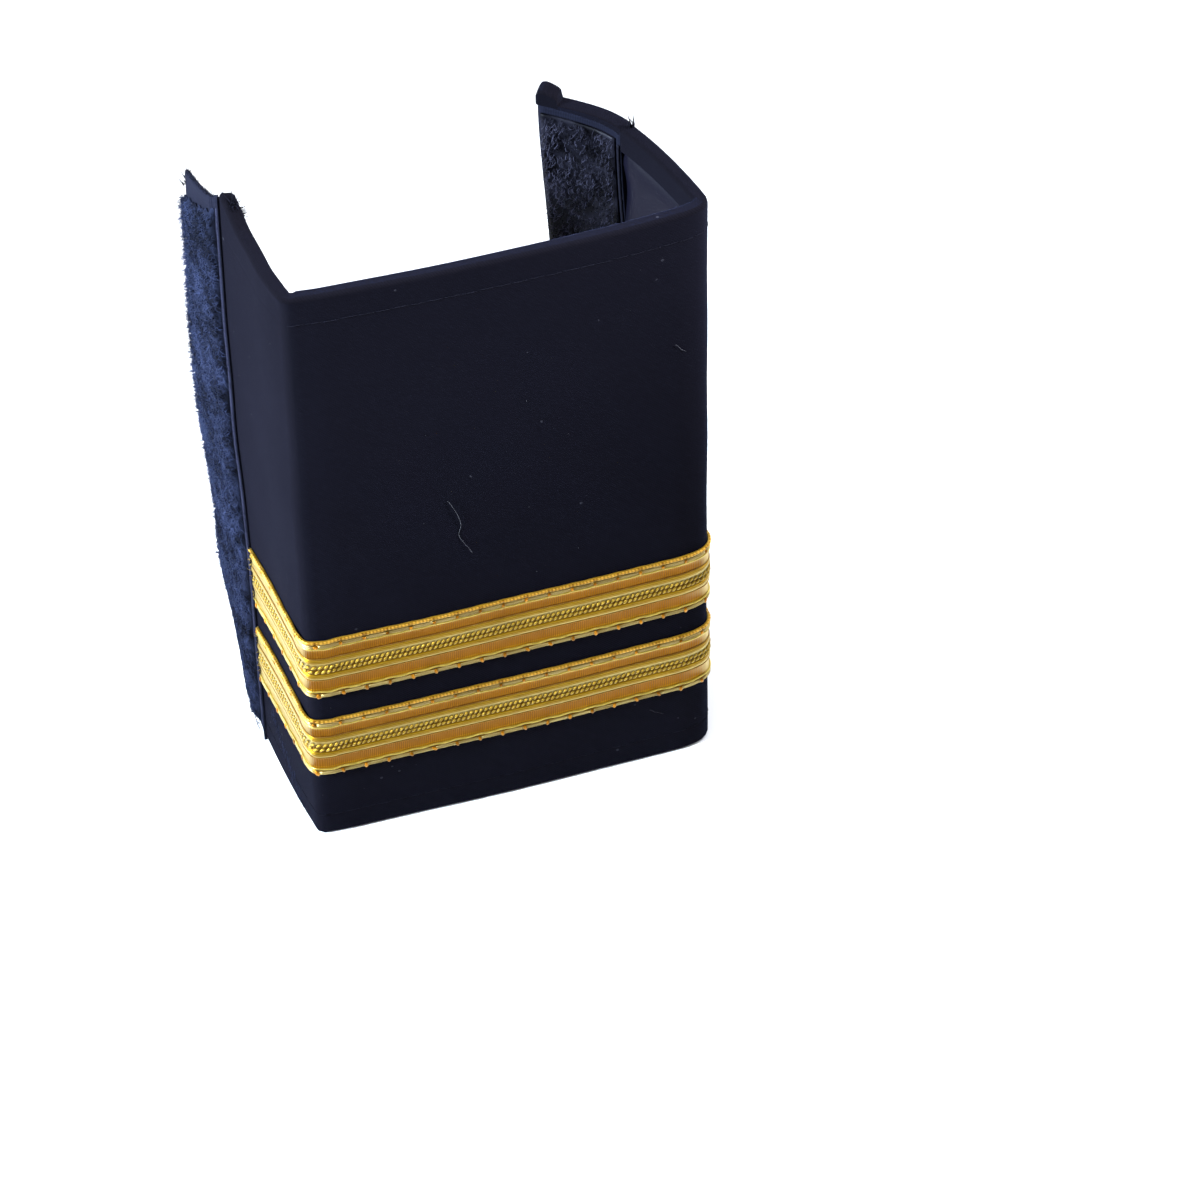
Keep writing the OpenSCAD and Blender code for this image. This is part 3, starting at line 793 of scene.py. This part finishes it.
def makePileLoops(left, right, low):  # the loops lean and curl over one another, lighter in clumps
    count = pile["count"]
    s0 = seeds.uniform(left, right, count)
    z0 = low + seeds.random(count) * (pileHead(s0) - low)
    lean = seeds.normal(math.radians(-95), 0.9, count)
    reach = pile["reach"] * seeds.uniform(0.5, 1.3, count)
    t = np.linspace(0, 1, 4)[None]
    arch = np.sin(math.pi * t) ** 0.8
    curl = seeds.normal(0, 0.5, count)[:, None] * t * t
    s = s0[:, None] + reach[:, None] * t * np.cos(lean[:, None] + curl)
    z = z0[:, None] + reach[:, None] * t * np.sin(lean[:, None] + curl)
    tall = 0.42 + 0.62 * arch * seeds.uniform(0.55, 1.15, count)[:, None]
    rise = board["clearance"] + pile["depth"] * tall
    paths = place(s, z, tapeFace(s) + rise, loopTrim(s, z))
    clumps = np.sin(1.1 * s0 + 0.45 * z0) * np.sin(0.83 * z0 + 0.9 * s0)
    tone = np.clip(0.42 + 0.30 * clumps + seeds.normal(0, 0.24, count), 0.02, 1)
    radius = pile["radius"] * mm * seeds.uniform(0.7, 1.25, count)[:, None] * (0.55 + 0.45 * arch)
    loops = strandPiece("pileLoops", paths, radius, 3, tone[:, None], capped=False)
    return finish(loops, materials["pile"])


def makeWhiskers(left, right, low, high):  # long stray hairs that show against the background
    count = pile["strayCount"]
    outward = seeds.random(count) < 0.7
    s0 = np.where(outward, left + seeds.uniform(-0.05, 0.5, count), seeds.uniform(left, right, count))
    z0 = seeds.uniform(low, high, count)
    t = np.linspace(0, 1, 5)[None]
    length = (0.4 + 0.9 * seeds.random(count) ** 1.5)[:, None]
    sideways = np.where(outward, -0.35, seeds.normal(0, 0.3, count))[:, None]
    s = s0[:, None] + length * t * sideways * seeds.uniform(0.5, 1.1, count)[:, None]
    z = z0[:, None] - length * t * seeds.uniform(-0.5, 0.9, count)[:, None] * (0.4 + 0.6 * t)
    lift = seeds.uniform(0.5, 1.2, count)[:, None]
    rise = seeds.uniform(0.3, 0.8, count)[:, None] * pile["depth"] + length * lift * (t - 0.25 * t * t)
    paths = place(s, z, tapeFace(s) + rise, loopTrim(s, z))
    radius = pile["strayRadius"] * mm * (1.15 - t) * seeds.uniform(0.5, 1, (count, 1))
    tone = np.clip(seeds.normal(0.6, 0.2, count), 0.1, 1)[:, None]
    whiskers = strandPiece("pileWhiskers", paths, radius, 3, tone, capped=False)
    return finish(whiskers, materials["pile"])


def makePile():
    left, right = endLeft + 0.1, seamLeft - 0.55
    low, high = tape["bareEnd"], top - tape["bareTop"]
    mat = makePileMat(left, right, low, high)
    return mat, [makePileLoops(left, right, low), makeWhiskers(left, right, low, high)]


def seamBow(s, z):  # the hook strip's seam bows towards the fold below its top
    share = np.clip((endRight - s) / board["hookWidth"], 0, 1)
    return s - board["seamBow"] * share * hump(z, 79, 11)


hooks = {"count": 5600, "height": 0.78, "radius": 0.042, "step": 0.6}


def makeHookTape():
    foot, head = facingShape["foot"], facingShape["head"]
    start, end = seamRight + board["clearance"], endRight - braid["edge"]
    along = gradedStops(start, end, tape["step"], fine=[start + tape["selvage"] / 2], small=0.12)
    up = gradedStops(foot, head, 0.8, fine=[head - 0.3], small=0.15)
    s, z = np.meshgrid(along, up, indexing="ij")
    rib = selvageRib(s - start, tape["selvage"])[1]
    edge = np.minimum(np.minimum(z - foot, head - z), end - s)
    inner = clothInside - board["backing"] + rounded(edge, 0.3) - rib
    piece = sheetPiece("hookTape", along, up, inner, clothInside, hemRise(s, z), seamBow(s, z))
    return finish(piece, materials["tape"], "hook_strip")


def makeSelvages():  # the woven edge of each tape, where it is sewn down
    z = np.linspace(0.6, top - 1.6, 260)
    inside = facingShape["foot"] + (facingShape["head"] - facingShape["foot"]) * z / top
    left, right = seamLeft - 0.30, seamRight + 0.5
    line, back = seamBow(right, inside), clothInside - board["backing"] - 0.2
    loopEdge = twistedEdge("loopSelvage", z, left, z, tapeFace(left), loopTrim(left, z), 0.15)
    hookEdge = twistedEdge("hookSelvage", z, line, inside, back, hemRise(right, inside), 0.20)
    finish(loopEdge, materials["selvage"])
    finish(hookEdge, materials["stitch"])
    return loopEdge, hookEdge


def twistedEdge(name, run, line, height, offset, rise, radius):  # two plies twisted round each other
    t = 2 * math.pi * run / 0.9
    plies = [place(line + 0.07 * np.cos(t + ply), height, offset + 0.05 * np.sin(t + ply), rise)
             for ply in (0, math.pi)]
    tone = np.clip(0.55 + 0.25 * np.sin(t)[None] + seeds.normal(0, 0.12, (2, len(run))), 0, 1)
    return strandPiece(name, np.array(plies), radius * mm, 6, tone)


def makeHookGround(start, end, low, high, ground):
    along, up = gradedStops(start, end, hooks["step"]), gradedStops(low, high, hooks["step"])
    s, z = np.meshgrid(along, up, indexing="ij")
    bumps = np.sin(3.1 * s + 1.4 * np.sin(1.3 * z)) * np.sin(2.7 * z + 1.2 * np.sin(1.7 * s))
    inner = ground - 0.22 - 0.06 * bumps
    field = sheetPiece("hookGround", along, up, inner, ground, hemRise(s, z), seamBow(s, z))
    giveTone(field.data, np.full(2 * s.size, 0.05))
    return finish(field, materials["hooks"], "hook_field")


def makeHookThreads(start, end, low, high, ground):  # each hook rises, leans over and turns down at its end
    count = hooks["count"]
    s0, z0 = seeds.uniform(start + 0.2, end - 0.2, count), seeds.uniform(low + 0.2, high - 0.2, count)
    pointing = seeds.normal(math.radians(-80), 0.8, count)[:, None]
    t = np.linspace(0, 1, 6)[None]
    reach = 0.34 * (1 - np.cos(math.pi * np.clip(t * 1.45 - 0.35, 0, 1)))
    size = seeds.uniform(0.75, 1.1, count)[:, None]
    rise = hooks["height"] * size * np.where(t < 0.62, t / 0.62, 1 - 0.55 * (t - 0.62) / 0.38)
    s = s0[:, None] + size * reach * np.cos(pointing)
    z = z0[:, None] + size * reach * np.sin(pointing)
    paths = place(seamBow(s, z), z, ground - 0.15 - rise * 0.82, hemRise(s, z))
    tone = np.clip(seeds.normal(0.18, 0.26, count) + 0.30 * hump(s0, end, 3.0), 0.02, 1)
    piece = strandPiece("hookThreads", paths, hooks["radius"] * mm, 3, tone[:, None], capped=False)
    return finish(piece, materials["hooks"])


def makeHooks():
    start, end = seamRight + tape["selvage"] + 0.1, endRight - tape["bareEnd"]
    low, high = facingShape["foot"] + tape["bareEnd"], facingShape["head"] - tape["bareEnd"]
    area = (start, end, low, high, clothInside - board["clearance"] - board["backing"])
    return makeHookGround(*area), [makeHookThreads(*area)]


def bridge(s):  # lace is stiffer than cloth, so it rounds the pressed left fold in a wider bend
    return braid["bridge"] * (hump(s, leftMiddle - 2.0, 1.3) + hump(s, leftMiddle + 2.0, 1.3))


def wrappedCord(name, foot, start, end, gaps):
    # a cord wound with thread: it is slightly waisted where each stitch crosses it
    height, offset = foot + braid["rimHeight"] * braid["width"], board["clearance"] + 0.26
    steps = int((end - start) / 0.08)
    s = np.linspace(start, end, steps)
    nearest = np.abs(s[:, None] - gaps[None]).min(axis=1)
    waist = np.exp(-((nearest / 0.30) ** 2))
    winding = np.sin(2 * math.pi * s / 0.5)
    paths = place(s, height + 0.02 * np.sin(1.7 * s), offset - 0.03 * waist + bridge(s))[None]
    thick = (braid["rimRadius"] * (1 + 0.07 * winding - 0.18 * waist) * mm)[None]
    # painted shade: the tone is painted lighter on each turn's crest and darker between the turns and at
    # each waist
    tone = np.clip(0.56 + 0.30 * winding - 0.36 * waist + seeds.normal(0, 0.08, steps), 0, 1)[None]
    return finish(strandPiece(name, paths, thick, 8, tone), materials["rim"])


def plainCord(name, material, lines, foot, start, end, tone=0.5, bowFrom=0.0):
    # a smooth cord that bows a little between the stitches
    steps = int((end - start) / 0.25)
    s = np.linspace(start, end, steps)
    bow = 0.08 * np.cos(2 * math.pi * (s - bowFrom) / braid["stitch"])
    paths = [place(s, foot + share * braid["width"] + bow * bend, board["clearance"] + offset + bridge(s))
             for share, offset, bend in lines]
    tones = np.clip(tone + 0.15 * np.sin(4.0 * s)[None] + seeds.normal(0, 0.1, (len(lines), steps)), 0, 1)
    radius = braid[material + "Radius"] * mm
    return finish(strandPiece(name, np.array(paths), radius, 6, tones), materials[material])


def makeRibbon(name, node, foot, start, end, shiftAlong):  # the lace, drawn in a little at each stitch
    shares = np.array([row[0] for row in laceProfile])
    thickness = braid["depth"] * np.array([row[1] for row in laceProfile])
    along = np.arange(start, end, 0.33)
    s, share = np.meshgrid(np.append(along, end), shares, indexing="ij")
    phase = 2 * math.pi * (s - start - shiftAlong) / braid["stitch"]
    lowerEdge, upperEdge = np.clip((0.10 - share) / 0.10, 0, 1), np.clip((share - 0.94) / 0.06, 0, 1)
    drawn = 0.10 * lowerEdge * np.cos(phase)
    z = foot + braid["width"] * share - drawn + 0.03 * upperEdge * np.cos(phase)
    under = board["clearance"] + bridge(s)
    sides = [place(s, z, face).reshape(-1, 3) for face in (under + thickness, under)]
    faces = np.concatenate(sheetFaces(*s.shape))
    both = np.tile(np.stack([s, share], -1).reshape(-1, 2), (2, 1))
    ribbon = buildMesh(name, np.concatenate(sides), [faces], uv=both[faces.ravel()])
    return finish(ribbon, materials["lace"], node)


def makeStitching(name, foot, gaps):  # dashes of thread along each edge, with a knot between them
    width, ground = braid["width"], board["clearance"]
    middles = (gaps[:-1] + gaps[1:]) / 2
    t = np.linspace(-0.5, 0.5, 9)
    bow = np.cos(math.pi * t)[None]
    dashes, tones = [], []
    for height, outward, _, _ in stitchRows:
        for row in (-0.20, 0.0, 0.20):
            dashS = middles[:, None] + t[None] * (braid["stitch"] - braid["stitchGap"])
            spread = row * (0.72 + 0.28 * bow) + outward * (bow - 0.5)
            dashZ = foot + height * width + spread + 0 * dashS
            dashOffset = ground + 0.20 + 0.06 * bow - 0.08 * abs(row) + bridge(dashS)
            dashes.append(place(dashS, dashZ, dashOffset))
            tones.append(seeds.uniform(0.2, 0.95, (len(middles), 1)))
    dashes, tones = np.concatenate(dashes), np.concatenate(tones)
    gimp = strandPiece(name + "Gimp", dashes, braid["gimpRadius"] * mm, 5, tones)
    finish(gimp, materials["gimp"])

    spots, sizes = [], []
    for _, _, height, tall in stitchRows:
        wobble = seeds.normal(0, 0.03, len(gaps))
        level = foot + height * width + wobble - 0.05
        spots.append(np.stack([gaps, level, ground + 0.27 + bridge(gaps)], 1))
        sizes.append(np.stack([0.27 + 0 * gaps, tall + wobble, 0.17 + 0 * gaps], 1))
    spots, sizes = np.concatenate(spots), np.concatenate(sizes)
    turns = seeds.normal(0.25, 0.25, len(spots))
    knots = lumpPiece(name + "Knots", spots, sizes, turns, seeds.uniform(0.2, 0.9, len(spots)))
    return gimp, finish(knots, materials["knot"])


def makeBeads(name, foot, start, end):  # two rows of slanting beads run down the middle
    count = int((end - start - 0.5) / braid["bead"])
    steps = start + 0.35 + braid["bead"] * np.arange(count)
    rows = []
    for row, slip in ((-braid["beadRow"], 0.0), (braid["beadRow"], 0.5)):
        height = foot + braid["width"] / 2 + row + 0 * steps
        offset = board["clearance"] + 0.25 + bridge(steps)
        rows.append(np.stack([steps + slip * braid["bead"], height, offset], 1))
    spots = np.concatenate(rows)
    turns = np.full(len(spots), math.radians(braid["beadSlant"])) + seeds.normal(0, 0.06, len(spots))
    sizes = np.tile(braid["beadSize"], (len(spots), 1))
    beads = lumpPiece(name + "Beads", spots, sizes, turns, seeds.uniform(0.45, 0.8, len(spots)))
    return finish(beads, materials["bead"])


def makeBraid(name, node, foot, shiftAlong):
    start, end = seamLeft + braid["endGap"], endRight - braid["edge"] - braid["endGap"]
    count = int((end - start - shiftAlong) / braid["stitch"])
    gaps = start + shiftAlong + braid["stitch"] * np.arange(count + 1)
    ribbon = makeRibbon(name, node, foot, start, end, shiftAlong)
    gimp, knots = makeStitching(name, foot, gaps)
    beads = makeBeads(name, foot, start, end)
    rim = wrappedCord(name + "Rim", foot, start, end, gaps)
    cord = plainCord(name + "Cord", "paleCord", paleCords, foot, start, end, 0.6, gaps[0])
    line = plainCord(name + "Line", "pinkLine", pinkLines, foot, start, end)
    return ribbon, [gimp, knots, beads, rim, cord, line]


frayCuts = {  # count, length, radius and bend of the loose threads
    "seamFray": (90, 1.5, 0.10, 0.25), "seamFrayLow": (40, 1.1, 0.08, 0.2),
    "seamSpike": (18, 2.8, 0.07, 0.12), "footFluff": (150, 1.0, 0.028, 0.4),
    "tapeTopFray": (240, 0.55, 0.035, 0.4), "tapeCornerFray": (40, 1.1, 0.09, 0.2),
    "tapeFootFray": (160, 0.5, 0.035, 0.4), "braidEnds": (34, 0.42, 0.04, 0.4),
}
frayClumps = {  # where the threads start and its spread, where they point and its spread
    "seamFray": ((seamLeft + 1.4, top + 1.2, -1.2), (0.35, 0.3, 0.3), (0.2, 0.8, -0.1), (0.30, 0.3, 0.35)),
    "seamFrayLow": (
        (seamLeft + 1.9, top + 0.2, -1.9), (0.3, 0.35, 0.2), (0.6, 0.2, -0.7), (0.25, 0.25, 0.25)),
    "tapeCornerFray": (
        (endLeft + 0.25, top - 5.0, 0.5), (0.25, 0.45, 0.2), (-0.55, 0.55, 0.2), (0.3, 0.4, 0.2)),
    "seamSpike": (
        (seamRight - 0.85, top - 0.2, -0.6), (0.16, 0.12, 0.16), (0.10, 0.95, -0.05), (0.07, 0.1, 0.07)),
}


def tuft(name, roots, directions, colour="fray", cut=None):
    # short loose threads: roots and directions in distance, height and offset
    count, length, radius, bend = frayCuts[cut or name]
    t = np.linspace(0, 1, 6)[None, :, None]
    size = (length * seeds.uniform(0.4, 1.2, count))[:, None, None]
    sway = seeds.normal(0, bend, (count, 1, 3))
    path = roots[:, None, :] + size * (t * directions[:, None, :] + t * t * sway)
    points = place(path[..., 0], path[..., 1], path[..., 2])
    thick = radius * mm * (1.1 - t[..., 0]) * np.ones((count, 1))
    piece = strandPiece(name, points, thick, 4, seeds.random((count, 1)))
    return finish(piece, materials[colour])


def scatter(middle, spread, count):
    return np.array(middle) + seeds.normal(0, 1, (count, 3)) * np.array(spread)


def clump(name):
    root, rootSpread, away, awaySpread = frayClumps[name]
    count = frayCuts[name][0]
    return tuft(name, scatter(root, rootSpread, count), scatter(away, awaySpread, count))


fluffRun = ((-45, 9), (-34, 1))  # along the cloth and up it, from and to


def makeFluff():  # short fibres of the pile that cling to the cloth below the loop strip
    count = frayCuts["footFluff"][0]
    reach = seeds.random(count)
    (s0, z0), (s1, z1) = fluffRun
    roots = np.stack([s0 + (s1 - s0) * reach, z0 + (z1 - z0) * reach, 0 * reach + 0.02], 1)
    roots = roots + scatter((0, 0, 0), (0.8, 0.8, 0), count)
    away = scatter((0.3, -0.6, 0.06), (0.4, 0.4, 0.06), count)
    return tuft("footFluff", roots, away, "pile")


def makeTapeFray(name, end, above, away, spread):  # threads along a cut end of the loop strip
    count = frayCuts[name][0]
    cut = seeds.uniform(endLeft, seamLeft - 0.5, count)
    height = np.maximum(0.9, end + above + loopTrim(cut, end))
    roots = np.stack([cut, height, seeds.uniform(0.15, 0.8, count)], 1)
    return tuft(name, roots, scatter(away, spread, count))


def makeBraidEnds(name, foot):
    count = frayCuts["braidEnds"][0]
    height = seeds.uniform(foot, foot + braid["width"], count)
    roots = np.stack([np.full(count, seamLeft + 0.4), height, seeds.uniform(0.15, 0.55, count)], 1)
    away = scatter((-0.55, -0.2, 0.35), (0.3, 0.5, 0.2), count)
    return tuft(name, roots, away, "goldThread", "braidEnds")


def makeFrays():
    clump("seamFray")
    clump("seamFrayLow")
    makeFluff()
    makeTapeFray("tapeTopFray", top, -0.3, (0, 0.8, 0.1), (0.3, 0.4, 0.3))
    clump("tapeCornerFray")
    makeTapeFray("tapeFootFray", 0, 0.4, (-0.2, -0.5, 0.2), (0.3, 0.3, 0.3))
    clump("seamSpike")
    makeBraidEnds("lowerBraidEnds", braid["foot"])
    makeBraidEnds("upperBraidEnds", upperFoot)


def makeLint():
    t = np.linspace(0, 1, 26)
    hairs = [  # start and end along and up the front, and how much the hair curls
        (-8.8, 59.8, -5.7, 49.8, 1.3), (23.5, 79.0, 25.0, 77.6, 0.4), (19.5, 9.8, 21.5, 8.6, 0.3),
    ]
    paths = []
    for s0, z0, s1, z1, curl in hairs:
        s = s0 + (s1 - s0) * t + curl * np.sin(6.5 * t) * t * (1 - t) * 2.4
        z = z0 + (z1 - z0) * t + curl * np.sin(9.0 * t + 1.0) * (1 - t) * 0.7
        paths.append(place(s, z, 0.10 + 0.08 * np.sin(8 * t)))
    hair = strandPiece("lintHairs", np.array(paths), 0.030 * mm, 4, 0.6 * np.ones((len(paths), 1)))
    finish(hair, materials["lint"])
    count = 30
    spots = np.stack([seeds.uniform(-47, 46, count), seeds.uniform(6, 97, count), np.full(count, 0.03)], 1)
    sizes = seeds.uniform(0.03, 0.07, (count, 3)) * np.array([1.6, 1, 0.6])
    turns, tone = seeds.uniform(0, 3, count), seeds.random(count) * 0.5
    specks = lumpPiece("lintSpecks", spots, sizes, turns, tone, 6, 4)
    return [hair, finish(specks, materials["lint"])]


cloth = makeCloth()
print("outer cloth made")
facing = makeFacing()
stitches = [
    hemStitches("topHemStitches", top - board["hem"] - hemStitch["below"], leftMiddle, endRight - 1.0),
    hemStitches("footHemStitches", board["hem"], seamLeft + 0.5, endRight - 1.0),
]
loopTape = makeLoopTape()
pileMat, pileParts = makePile()
print("loop tape made")
hookTape = makeHookTape()
loopSelvage, hookSelvage = makeSelvages()
hookGround, hookParts = makeHooks()
print("hook tape made")
lowerBraid, lowerParts = makeBraid("lowerBraid", "lower_braid", braid["foot"], 0.0)
upperBraid, upperParts = makeBraid("upperBraid", "upper_braid", upperFoot, 0.7)
print("braids made")
makeFrays()
lint = makeLint()
print("frayed ends and lint made")

studio = {
    "floor": (0.90, 0.90, 0.90, 1), "floorSize": 8.0, "world": (1.0, 1.0, 1.0, 1), "worldStrength": 0.38,
}
lamps = {  # place, aim, size, watts, colour, spread in degrees
    "left": ((-0.40, -0.03, 0.22), (0, 0, 0.060), 0.12, 0.54, (0.75, 0.89, 1.06), 30),
    "top": ((0.10, 0.02, 1.20), (0, 0, 0.0), 1.0, 15.0, (1.0, 1.0, 1.0), 180),
    "rim": ((0.60, 0.30, 0.30), (0, 0, 0.05), 0.40, 4.0, (0.72, 0.80, 1.0), 180),
    "front": ((0.40, -0.13, 0.30), (0.005, -0.016, 0.105), 0.06, 0.12, (0.84, 0.88, 1.0), 16),
}


def makeStudio():
    scene = bpy.context.scene
    scene.view_settings.view_transform = "Standard"
    half = studio["floorSize"] / 2
    corners = [(-half, -half, 0), (half, -half, 0), (half, half, 0), (-half, half, 0)]
    mesh = bpy.data.meshes.new("floor")
    mesh.from_pydata(corners, [], [(0, 1, 2, 3)])
    floor = bpy.data.objects.new("floor", mesh)
    scene.collection.objects.link(floor)
    material, tree, shader = newMaterial("paper", 0.9, specular=0.2)
    shader.inputs["Base Color"].default_value = studio["floor"]
    mesh.materials.append(material)
    world = bpy.data.worlds.new("studio")
    world.use_nodes = True
    world.node_tree.nodes["Background"].inputs[0].default_value = studio["world"]
    world.node_tree.nodes["Background"].inputs[1].default_value = studio["worldStrength"]
    scene.world = world
    for name, (at, aim, size, watts, colour, spread) in lamps.items():
        data = bpy.data.lights.new(name + "Light", "AREA")
        data.size, data.energy, data.color, data.spread = size, watts, colour, math.radians(spread)
        lamp = bpy.data.objects.new(name + "Light", data)
        scene.collection.objects.link(lamp)
        lamp.location = at
        lamp.rotation_euler = (Vector(aim) - Vector(at)).to_track_quat("-Z", "Y").to_euler()


makeStudio()
print("studio made")
